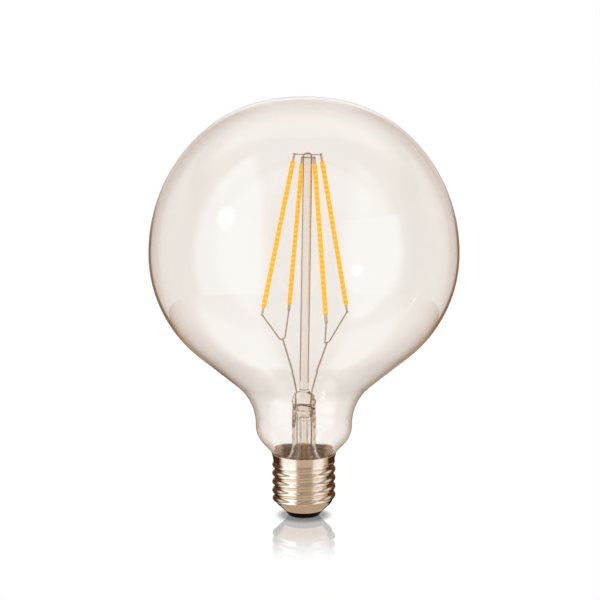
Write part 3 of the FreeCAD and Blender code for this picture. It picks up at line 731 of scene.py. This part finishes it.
@dataclass
class FusedStem:
    """Stem, press, rod and exhaust tube as the one piece of glass that they are melted into."""

    size: StemSize
    vertices: list[Vector] = field(default_factory=list)
    faces: list[tuple[int, ...]] = field(default_factory=list)

    def ring(self, height: float, wide: float, thick: float, lean: bool = False) -> list[Vector]:
        """Oval ring of points.

        Args:
            height: height of the ring.
            wide: half width along the press.
            thick: half width across the press.
            lean: whether the ring follows the leaning rod.

        Returns:
            The points.
        """
        size = self.size
        turn = Matrix.Rotation(math.radians(size.press_turn), 3, "Z")
        points = []
        for step in range(size.segments):
            angle = FULL_TURN * step / size.segments
            points.append(turn @ Vector((wide * math.cos(angle), thick * math.sin(angle), height)))
        if lean:
            pivot = Vector((0.0, 0.0, size.top + size.ovals[-1][0]))
            tilt = Matrix.Rotation(math.radians(size.lean), 3, "Y")
            points = [tilt @ (point - pivot) + pivot for point in points]
        return points

    def press_oval(self, rise: float) -> tuple[float, float]:
        """Half widths of the press between its known ovals.

        Args:
            rise: height above the tube's end.

        Returns:
            Half width along and across the press.
        """
        ovals = self.size.ovals
        rises = [oval[0] for oval in ovals]
        index = max(1, min(len(ovals) - 1, sum(value < rise for value in rises)))
        widths = []
        for column in (1, 2):
            values = [oval[column] for oval in ovals]
            slopes = [0.0]
            for place in range(1, len(ovals) - 1):
                run = rises[place + 1] - rises[place - 1]
                slopes.append((values[place + 1] - values[place - 1]) / run)
            slopes.append((values[-1] - values[-2]) / (rises[-1] - rises[-2]))
            span = rises[index] - rises[index - 1]
            share = (rise - rises[index - 1]) / span
            start = values[index - 1] * (1 + 2 * share) * (1 - share) ** 2
            start += slopes[index - 1] * span * share * (1 - share) ** 2
            end = values[index] * share ** 2 * (3 - 2 * share)
            end -= slopes[index] * span * share ** 2 * (1 - share)
            widths.append(start + end)
        return widths[0], widths[1]

    def flare(self, inset: float) -> list[Station]:
        """Meridian of the trumpet and tube.

        Args:
            inset: how far it lies inside the outer surface.

        Returns:
            Radius and height of each point, upwards.
        """
        size = self.size
        sweep = math.acos(1.0 - (size.reach - size.tube_radius) / size.flare_bend)
        height = size.seal + size.seal_band - inset * math.sin(sweep)
        line = Meridian(size.reach - inset * math.cos(sweep), height, -math.degrees(sweep))
        line.bend(size.flare_bend + inset, math.degrees(sweep), size.flare_steps)
        return line.points

    def rings(self, stations: Iterable[Station], lean: bool = False) -> list[list[Vector]]:
        """Round rings at the stations of a meridian."""
        return [self.ring(height, radius, radius, lean) for radius, height in stations]

    def dome(self, base: float, radius: float, rise: float, steps: int) -> list[Station]:
        """Meridian of a rounded end, from its widest station to the last before its pole.

        Args:
            base: height of the widest station.
            radius: radius of the end.
            rise: 1 for an end that closes upwards and -1 for one that closes downwards.
            steps: stations of the end.

        Returns:
            The stations.
        """
        angles = [QUARTER_TURN * step / steps for step in range(steps)]
        return [(radius * math.cos(angle), base + rise * radius * math.sin(angle)) for angle in angles]

    def tube(self, start: float, end: float, radius: float, steps: int) -> list[Station]:
        """Meridian of a straight tube, without the station that it starts from."""
        return [(radius, start + (end - start) * step / steps) for step in range(1, steps + 1)]

    def funnel(self) -> list[Station]:
        """Meridian of the bore's end, which dips round the exhaust tube.

        Returns:
            The stations, from the bore inwards.
        """
        size = self.size
        dip = size.tube_radius - size.wall - size.exhaust_radius
        brim = size.top + size.funnel_rise
        angles = [QUARTER_TURN * step / size.funnel_steps for step in range(size.funnel_steps + 1)]
        return [(size.exhaust_radius + dip * (1.0 - math.sin(angle)),
                 brim - size.funnel_depth * (1.0 - math.cos(angle))) for angle in angles]

    def skin(self) -> list[list[Vector]]:
        """Rings of the glass from the rod's head, over the flare and up its bore to the exhaust tube's tip.

        Returns:
            The rings.
        """
        size = self.size
        shoulder = size.head - size.rod_radius
        press_height = size.ovals[-1][0]
        press_top = size.top + press_height
        rod = self.dome(shoulder, size.rod_radius, 1.0, size.head_steps)[::-1]
        rod += self.tube(shoulder, press_top + size.rod_foot, size.rod_radius, size.rod_steps)
        rod += [(size.rod_radius + swell, press_top + rise) for rise, swell in size.melt]
        press = []
        for step in range(size.press_steps, -1, -1):
            rise = press_height * step / size.press_steps
            press.append(self.ring(size.top + rise, *self.press_oval(rise)))
        tip = size.exhaust_tip + size.exhaust_radius
        funnel_foot = size.top + size.funnel_rise - size.funnel_depth
        below = self.flare(0.0)[::-1] + [(size.reach, size.seal)] + self.flare(size.wall) + self.funnel()
        below += self.tube(funnel_foot, tip, size.exhaust_radius, size.exhaust_steps)
        below += self.dome(tip, size.exhaust_radius, -1.0, size.tip_steps)[1:]
        return self.rings(rod, True) + press + self.rings(below)

    def hollow(self) -> list[list[Vector]]:
        """Rings of the closed bore in the exhaust tube, upwards.

        Returns:
            The rings.
        """
        size = self.size
        tip = size.exhaust_tip + size.exhaust_radius
        port = size.top - size.port_drop
        bore = self.dome(tip, size.exhaust_bore, -1.0, size.tip_steps)[::-1]
        bore += self.tube(tip, port, size.exhaust_bore, size.bore_steps)
        return self.rings(bore + self.dome(port, size.exhaust_bore, 1.0, size.tip_steps)[1:])

    def strip(self, rings: Sequence[list[Vector]]) -> None:
        """Skins rings one after another and closes both ends with a point.

        Args:
            rings: rings of points, in order.
        """
        count = self.size.segments
        base = len(self.vertices)
        for ring in rings:
            self.vertices.extend(ring)
        for level in range(len(rings) - 1):
            low = base + level * count
            for step in range(count):
                following = (step + 1) % count
                self.faces.append((low + step, low + following, low + count + following, low + count + step))
        for level, flip in ((0, True), (len(rings) - 1, False)):
            self.vertices.append(sum(rings[level], Vector()) / count)
            pole = len(self.vertices) - 1
            low = base + level * count
            for step in range(count):
                corners = (low + step, low + (step + 1) % count, pole)
                self.faces.append(corners[::-1] if flip else corners)

    def build(self) -> None:
        """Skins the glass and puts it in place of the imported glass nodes."""
        self.strip(self.skin())
        self.strip(self.hollow())
        mesh = plain_mesh(self.vertices, self.faces, "fused_stem")
        outward(mesh)
        Piece("fused_stem", STEM_GLASS, Slot.CLEAR_GLASS, ("stem", "centre_rod", "exhaust_tube")).place(mesh)


@dataclass(frozen=True)
class CageSize:
    """Sizes of the filament cage."""

    pivot: float = 52.8
    lean: float = 0.9
    turns: tuple[tuple[str, float, float], ...] = (("left", 200.0, 0.0), ("back", 111.5, 1.2),
                                                   ("front", -63.5, 1.2), ("right", 20.0, 0.0))
    coat_length: float = 60.3
    coat_diameter: float = 1.9
    end_radius: float = 0.6
    top: float = 148.95
    top_radius: float = 6.2
    foot_radius: float = 18.0
    tab_length: float = 2.6
    chip_pitch: float = 2.09
    chip_swell: float = 0.03
    wobbles_per_metre: float = 900.0
    coat_rings: int = 360
    coat_segments: int = 24


@dataclass(frozen=True)
class FilamentCage:
    """Four coated filaments hung round the rod, with their tabs, cross wires, forks and leads."""

    size: CageSize

    def coat_line(self, turn: float, drop: float) -> tuple[Vector, Vector]:
        """Ends of a coat's axis.

        Args:
            turn: turn of the filament about the rod.
            drop: how far its weld lies below the highest welds.

        Returns:
            Upper and lower end.
        """
        size = self.size
        run_in = size.foot_radius - size.top_radius
        fall = math.sqrt(size.coat_length ** 2 - run_in ** 2)
        outward_turn = Vector((math.cos(math.radians(turn)), math.sin(math.radians(turn)), 0.0))
        along = (outward_turn * run_in - Vector((0.0, 0.0, fall))).normalized()
        start = outward_turn * (size.top_radius - size.tab_length * run_in / size.coat_length)
        start.z = size.top - drop
        start += along * size.tab_length
        tilt = Matrix.Rotation(math.radians(size.lean), 3, "Y")
        pivot = Vector((0.0, 0.0, size.pivot))
        ends = (start, start + along * size.coat_length)
        return tuple(tilt @ (end - pivot) + pivot for end in ends)

    def tree(self) -> NodeTree:
        """Geometry rule that lays a beaded coat with rounded ends along a line.

        Returns:
            The geometry tree.
        """
        floats = ("Length", "Radius", "End Radius", "Chip Pitch", "Swell")
        whole = ("Rings", "Segments", "Seed")
        graph, given = new_rule("beaded_coat", {"Line": "Geometry", **dict.fromkeys(floats, "Float"),
                                                **dict.fromkeys(whole, "Int"), "Finish": "Material"})
        length, radius, rounding, pitch, swell = (graph.output(given, name) for name in floats)
        line = graph.node("GeometryNodeMeshToCurve", None, {"Mesh": given.outputs["Line"]})
        fine = graph.node("GeometryNodeResampleCurve", None,
                          {"Curve": line.outputs["Curve"], "Count": given.outputs["Rings"]})
        parameter = graph.node("GeometryNodeSplineParameter")
        run = graph.output(parameter, "Factor") * length
        near_end = graph.maths("MINIMUM", run, length - run)
        into_end = graph.maths("MAXIMUM", 0.0, 1.0 - near_end / rounding)
        arc = graph.maths("SQRT", graph.maths("MAXIMUM", 0.0, 1.0 - into_end * into_end))
        body = radius - rounding * (1.0 - arc)
        wave = graph.maths("COSINE", run * FULL_TURN / pitch)
        wobble_place = run * self.size.wobbles_per_metre + graph.output(given, "Seed")
        wobble = graph.node("ShaderNodeTexNoise", {"noise_dimensions": "1D"},
                            {"W": wobble_place, "Scale": 1.0})
        uneven = graph.output(wobble, "Fac") - NOISE_MIDDLE
        scale = body * (1.0 - swell * (1.0 - wave) / 2.0 - swell * abs(uneven))
        circle = graph.node("GeometryNodeCurvePrimitiveCircle", None,
                            {"Resolution": given.outputs["Segments"], "Radius": 1.0})
        coat = graph.node("GeometryNodeCurveToMesh", None,
                          {"Curve": fine.outputs["Curve"], "Profile Curve": circle.outputs["Curve"],
                           "Scale": scale, "Fill Caps": True})
        return close_rule(graph, coat.outputs["Mesh"], given.outputs["Finish"])

    def build(self) -> None:
        """Lays the coats and dresses the metal parts of the cage."""
        size = self.size
        tree = self.tree()
        for index, (side, turn, drop) in enumerate(size.turns):
            ends = self.coat_line(turn, drop)
            line = plain_mesh(ends, [(0, 1)], f"{side}_coat_line")
            values = {"Length": size.coat_length * MM, "Radius": size.coat_diameter / 2.0 * MM,
                      "End Radius": size.end_radius * MM, "Chip Pitch": size.chip_pitch * MM,
                      "Swell": size.chip_swell, "Rings": size.coat_rings, "Segments": size.coat_segments,
                      "Seed": BUILD_SEED + index, "Finish": PHOSPHOR.material()}
            mesh = rule_mesh(line, tree, values)
            outward(mesh)
            Piece(f"beaded_coat_{side}", PHOSPHOR, Slot.PHOSPHOR_COAT, (f"filament_{side}_coat",)).place(mesh)
            dress(CARRIER, [f"filament_{side}_carrier"])
            dress(TAB_METAL, [f"filament_{side}_top_tab", f"filament_{side}_foot_tab"])
        dress(BRIGHT_WIRE, ["outer_cross_wire", "inner_cross_wire", "left_fork", "right_fork",
                            "left_inner_lead", "right_inner_lead"])
        dress(COPPER_WIRE, ["left_seal_wire", "right_seal_wire", "left_outer_lead", "right_outer_lead"])


class ScrewCap:
    """Rolled shell, insulator, contact and cement."""

    def build(self) -> None:
        """Dresses the cap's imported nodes."""
        dress(NICKEL, ["screw_shell"])
        dress(BLACK_GLASS, ["cap_insulator"])
        dress(CONTACT, ["centre_contact"])
        dress(CEMENT, ["cap_cement"])


class Driver:
    """Board, components and wires hidden in the cap."""

    def build(self) -> None:
        """Dresses the driver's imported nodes."""
        dress(BOARD, ["driver_board"])
        dress(MOULDED, ["bridge_rectifier", "driver_chip"])
        dress(CAN_SLEEVE, ["smoothing_capacitor"])
        dress(RESISTOR, ["fuse_resistor"])
        dress(WIRE_SLEEVE, ["cap_wire"])
        dress(BRIGHT_WIRE, ["contact_wire"])


@dataclass(frozen=True)
class Softbox:
    """Area lamp that looks at the globe's centre."""

    name: str
    azimuth: float
    elevation: float
    distance: float
    width: float
    height: float
    radiance: float


@dataclass(frozen=True)
class RoundLamp(Softbox):
    """Small disc that shiny surfaces mirror."""


class Rays:
    """What a ray has met before it reaches the floor or the surroundings."""

    stem_crossings: Edges = (4.2, 4.8)

    def __init__(self, graph: Graph) -> None:
        """Reads the ray's path.

        Args:
            graph: tree to add to.
        """
        path = graph.node("ShaderNodeLightPath")
        crossings = graph.output(path, "Transmission Depth")
        self.seen = graph.output(path, "Is Camera Ray")
        self.through = graph.output(path, "Is Transmission Ray")
        self.mirrored = graph.maths("MINIMUM", graph.output(path, "Glossy Depth"), 1.0)
        self.glass = graph.maths("MINIMUM", crossings, 1.0)
        self.stem = crossings.ramp(self.stem_crossings)
        self.metal = (1.0 - self.glass) * (1.0 - graph.output(path, "Is Singular Ray"))


class Axis(Enum):
    """Measures that patches of light are laid out in: degrees, millimetres and shares."""

    AZIMUTH = "degrees round the lamp, 0 towards the camera and positive to the right"
    ASIDE = "degrees round the lamp from the camera, either way"
    RISE = "degrees above the horizon"
    ASLANT = "degrees out of the plane through camera and lamp, positive to the right"
    OFF_PLANE = "degrees out of the plane through camera and lamp, either way"
    FORWARD = "how nearly a ray runs along the camera's view"
    AWAY = "millimetres from the lamp's axis"
    GLASS = "1 where the ray has been through glass"
    METAL = "1 where the ray comes straight from brushed metal"


Steps = tuple[tuple[Axis, float, float], ...]


@dataclass(frozen=True)
class Surrounding:
    """Light level with soft patches, and soft patches of colour over it."""

    level: float
    tint: Colour = WHITE
    lights: tuple[tuple[float, Steps], ...] = ()
    covers: tuple[tuple[Colour, Steps], ...] = ()

    def share(self, axes: Mapping[Axis, Signal], steps: Steps) -> Signal:
        """Share of a patch, as the product of smooth steps.

        Args:
            axes: measures of the ray by axis.
            steps: axis of each step, and where the step is 0 and 1.

        Returns:
            From 0 outside the patch to 1 inside.
        """
        return math.prod(axes[axis].ramp((start, end)) for axis, start, end in steps)

    def colour(self, graph: Graph, axes: Mapping[Axis, Signal]) -> NodeSocket:
        """Colour that a ray meets: white when bright, and browner the darker it is where it has a tint.

        Args:
            graph: tree to add to.
            axes: measures of the ray by axis.

        Returns:
            The colour.
        """
        level = sum((self.share(axes, steps) * strength for strength, steps in self.lights), self.level)
        channels = dict(enumerate(level ** power for power in self.tint))
        colour = graph.node("ShaderNodeCombineXYZ", None, channels).outputs["Vector"]
        for cover, steps in self.covers:
            colour = graph.mix(self.share(axes, steps), colour, cover)
        return colour


FLOOR_TINT = (1.0, 1.4, 1.85)
BOX_TOP = (Axis.RISE, 74.0, 58.0)
# edges of the painted pools of light, and the region of painted shade behind the lamp, on the mirrored floor
POOL_FOOT = (Axis.AWAY, 20.0, 36.0)
PAINTED_SHADE_BEHIND = ((Axis.ASIDE, 86.0, 102.0), (Axis.AWAY, 190.0, 140.0))
MIRRORED_ROOM = Surrounding(0.4, (1.0, 1.3, 1.5), lights=(
    (0.85, ((Axis.AZIMUTH, -92.0, -80.0), (Axis.ASLANT, -22.0, -34.0), BOX_TOP)),
    (0.6, ((Axis.ASLANT, 24.0, 38.0), (Axis.AZIMUTH, 82.0, 68.0), BOX_TOP)),
    (0.25, ((Axis.ASIDE, 90.0, 120.0), (Axis.RISE, 28.0, 50.0), (Axis.RISE, 82.0, 66.0))),
    (0.35, ((Axis.ASIDE, 100.0, 124.0),))), covers=(
    ((0.09, 0.04, 0.018), ((Axis.ASIDE, 94.0, 102.0), (Axis.RISE, 34.0, 22.0), (Axis.METAL, 0.0, 1.0))),
    ((0.3, 0.17, 0.09), ((Axis.ASIDE, 150.5, 156.5), (Axis.RISE, 6.0, -4.0))),
    (WHITE, ((Axis.ASIDE, 96.0, 110.0), (Axis.OFF_PLANE, 16.0, 8.0), (Axis.RISE, 8.0, 11.0),
             (Axis.RISE, 86.0, 70.0)))))
# the floor's glow where shiny surfaces mirror it: darker far away, painted shade near the lamp's foot and
# behind it (lifted for rays that have crossed glass), and painted pools of the softboxes' light
MIRRORED_FLOOR_PAINTED_LIGHT = Surrounding(0.56, FLOOR_TINT, lights=(
    (-0.16, ((Axis.AWAY, 140.0, 240.0),)),
    (-0.06, ((Axis.AWAY, 34.0, 14.0),)),
    (0.5, ((Axis.AZIMUTH, -92.0, -76.0), (Axis.AZIMUTH, -20.0, -34.0), POOL_FOOT)),
    (0.4, ((Axis.AZIMUTH, 26.0, 40.0), (Axis.AZIMUTH, 84.0, 66.0), POOL_FOOT)),
    (-0.5, PAINTED_SHADE_BEHIND),
    (0.72, (*PAINTED_SHADE_BEHIND, (Axis.GLASS, 0.0, 1.0)))))
ROOM_THROUGH_STEM = Surrounding(0.96, FLOOR_TINT, lights=(
    (-0.62, ((Axis.ASIDE, 98.0, 108.0), (Axis.ASIDE, 146.0, 136.0))),), covers=(
    (WHITE, ((Axis.FORWARD, 0.95, 0.985),)),))
# floor as seen through the stem: painted brown shade near the lamp, fading out between 60 and 110 mm from its
# axis
FLOOR_THROUGH_STEM_PAINTED_SHADE = Surrounding(1.0, covers=(((0.42, 0.25, 0.12), ((Axis.AWAY, 110.0, 60.0),)),))


@dataclass(frozen=True)
class StudioSize:
    """Camera place, lamps and floor."""

    aim: tuple[float, float, float] = (0.0, 0.0, 109.5)
    camera_place: tuple[float, float, float] = (-1.6, -490.2, 153.28)
    camera_pitch: float = 7.34
    lens: float = 72.87
    sensor: float = 36.0
    soft_light: Colour = (0.62, 0.61, 0.6)
    floor_radius: float = 260.0
    floor_corners: int = 64
    # dark matt colour of the disc that paints the contact shadow
    painted_shadow_colour: Colour = (0.25, 0.25, 0.25)
    mirror_share: float = 0.48
    mirror_reach: Edges = (60.0, 20.0)
    shadow_share: float = 0.7
    shadow_reach: Edges = (13.0, 8.0)
    glass_bounces: int = 32
    mirror_bounces: int = 8
    lamps: tuple[Softbox, ...] = (
        Softbox("left_softbox", -55.0, 12.0, 700.0, 640.0, 900.0, 1.6),
        Softbox("right_softbox", 76.0, 12.0, 700.0, 520.0, 900.0, 1.25),
        RoundLamp("round_lamp_core", -53.0, 22.1, 206.2, 18.0, 18.0, 1.6),
        RoundLamp("round_lamp_glow", -53.0, 22.1, 207.2, 32.0, 32.0, 1.0),
        RoundLamp("round_lamp_edge", -53.0, 22.1, 208.2, 46.0, 46.0, 0.6))


@dataclass(frozen=True)
class Studio:
    """Camera, soft lamps, pale floor and surroundings."""

    size: StudioSize

    def camera(self) -> None:
        """Places the camera at the photo's viewing angle."""
        data = bpy.data.cameras.new("camera")
        data.lens = self.size.lens
        data.sensor_width = self.size.sensor
        camera = bpy.data.objects.new("camera", data)
        camera.location = Vector(self.size.camera_place) * MM
        camera.rotation_euler = (QUARTER_TURN - math.radians(self.size.camera_pitch), 0.0, 0.0)
        bpy.context.scene.collection.objects.link(camera)
        bpy.context.scene.camera = camera

    def lamp(self, box: Softbox) -> None:
        """Adds one lamp.

        Args:
            box: lamp's direction, size and radiance.
        """
        data = bpy.data.lights.new(box.name, "AREA")
        mirrored = isinstance(box, RoundLamp)
        data.shape = (LampShape.DISK if mirrored else LampShape.RECTANGLE).value
        data.size = box.width * MM
        data.size_y = box.height * MM
        area = box.width * box.height * MM * MM
        data.energy = box.radiance * area * WATTS_PER_RADIANCE
        azimuth = math.radians(box.azimuth)
        elevation = math.radians(box.elevation)
        direction = Vector((math.sin(azimuth) * math.cos(elevation), -math.cos(azimuth) * math.cos(elevation),
                            math.sin(elevation)))
        lamp = bpy.data.objects.new(box.name, data)
        lamp.location = (Vector(self.size.aim) + direction * box.distance) * MM
        lamp.rotation_euler = direction.to_track_quat("Z", "Y").to_euler()
        lamp.visible_camera = False
        lamp.visible_glossy = mirrored
        lamp.visible_transmission = mirrored
        bpy.context.scene.collection.objects.link(lamp)
        log.info("lamp %s", box.name)

    def world(self) -> None:
        """Sets what surrounds the lamp, apart for each kind of ray."""
        world = bpy.data.worlds.new("surroundings")
        bpy.context.scene.world = world
        world.use_nodes = True
        graph = Graph(world.node_tree)
        coordinates = graph.node("ShaderNodeTexCoord")
        x, y, z = graph.split(coordinates.outputs["Generated"])
        azimuth = graph.maths("ARCTAN2", x, -y) * math.degrees(1.0)
        rise = graph.maths("ARCSINE", z) * math.degrees(1.0)
        aslant = graph.maths("ARCSINE", x) * math.degrees(1.0)
        pitch = math.radians(self.size.camera_pitch)
        forward = y * math.cos(pitch) - z * math.sin(pitch)
        rays = Rays(graph)
        axes = {Axis.AZIMUTH: azimuth, Axis.ASIDE: abs(azimuth), Axis.RISE: rise, Axis.ASLANT: aslant,
                Axis.OFF_PLANE: abs(aslant), Axis.FORWARD: forward, Axis.METAL: rays.metal}
        through = graph.mix(rays.stem, WHITE, ROOM_THROUGH_STEM.colour(graph, axes))
        colour = graph.mix(rays.through, self.size.soft_light, through)
        colour = graph.mix(rays.mirrored, colour, MIRRORED_ROOM.colour(graph, axes))
        colour = graph.mix(rays.seen, colour, WHITE)
        graph.fill(world.node_tree.nodes["Background"], {"Color": colour})

    def floor_finish(self) -> Material:
        """White floor with a faint mirror, a painted contact shadow, and painted light and shade.

        Returns:
            The material.
        """
        size = self.size
        material = bpy.data.materials.new("floor_finish")
        material.use_nodes = True
        graph = Graph(material.node_tree)
        nodes = material.node_tree.nodes
        nodes.remove(nodes["Principled BSDF"])
        x, y, _ = graph.place()
        away = graph.maths("SQRT", x * x + y * y)
        azimuth = graph.maths("ARCTAN2", x, -y) * math.degrees(1.0)
        rays = Rays(graph)
        axes = {Axis.AZIMUTH: azimuth, Axis.ASIDE: abs(azimuth), Axis.AWAY: away, Axis.GLASS: rays.glass}
        # rays through the stem see the floor's painted brown shade
        through = graph.mix(rays.stem, WHITE, FLOOR_THROUGH_STEM_PAINTED_SHADE.colour(graph, axes))
        # shiny surfaces see the floor's painted pools of light and painted shade
        colour = graph.mix(rays.mirrored, through, MIRRORED_FLOOR_PAINTED_LIGHT.colour(graph, axes))
        white = graph.node("ShaderNodeEmission", None, {"Color": colour, "Strength": 1.0})
        mirror = graph.node("ShaderNodeBsdfGlossy", None, {"Color": WHITE, "Roughness": 0.0})
        matt = graph.node("ShaderNodeBsdfDiffuse", None, {"Color": size.painted_shadow_colour})
        mirror_share = away.ramp(size.mirror_reach) * rays.seen * size.mirror_share
        # painted shadow: a dark matt disc round the contact, which also takes the lamps' real shadow
        shadow_share = away.ramp(size.shadow_reach) * rays.seen * size.shadow_share
        shiny = graph.node("ShaderNodeMixShader", None,
                           {0: mirror_share, 1: white.outputs[0], 2: mirror.outputs[0]})
        grounded = graph.node("ShaderNodeMixShader", None,
                              {0: shadow_share, 1: shiny.outputs[0], 2: matt.outputs[0]})
        graph.fill(nodes["Material Output"], {"Surface": grounded.outputs[0]})
        return material

    def floor(self) -> None:
        """Lays the pale floor."""
        radius = self.size.floor_radius
        count = self.size.floor_corners
        corners = []
        for step in range(count):
            angle = FULL_TURN * step / count
            corners.append(Vector((radius * math.cos(angle), radius * math.sin(angle), 0.0)))
        mesh = plain_mesh(corners, [tuple(range(count))], "floor")
        mesh.materials.append(self.floor_finish())
        floor = bpy.data.objects.new("floor", mesh)
        bpy.context.scene.collection.objects.link(floor)

    def build(self) -> None:
        """Builds the camera, the lamps, the surroundings and the floor."""
        self.camera()
        for box in self.size.lamps:
            self.lamp(box)
        self.world()
        self.floor()
        scene = bpy.context.scene
        scene.view_settings.view_transform = "Standard"
        scene.cycles.max_bounces = self.size.glass_bounces
        scene.cycles.transmission_bounces = self.size.glass_bounces
        scene.cycles.glossy_bounces = self.size.mirror_bounces


def main() -> None:
    """Builds the lamp's assemblies in order."""
    logging.basicConfig(level=logging.INFO)
    Envelope(EnvelopeSize()).build()
    FusedStem(StemSize()).build()
    FilamentCage(CageSize()).build()
    ScrewCap().build()
    Driver().build()
    Studio(StudioSize()).build()


if __name__ == "__main__":
    main()
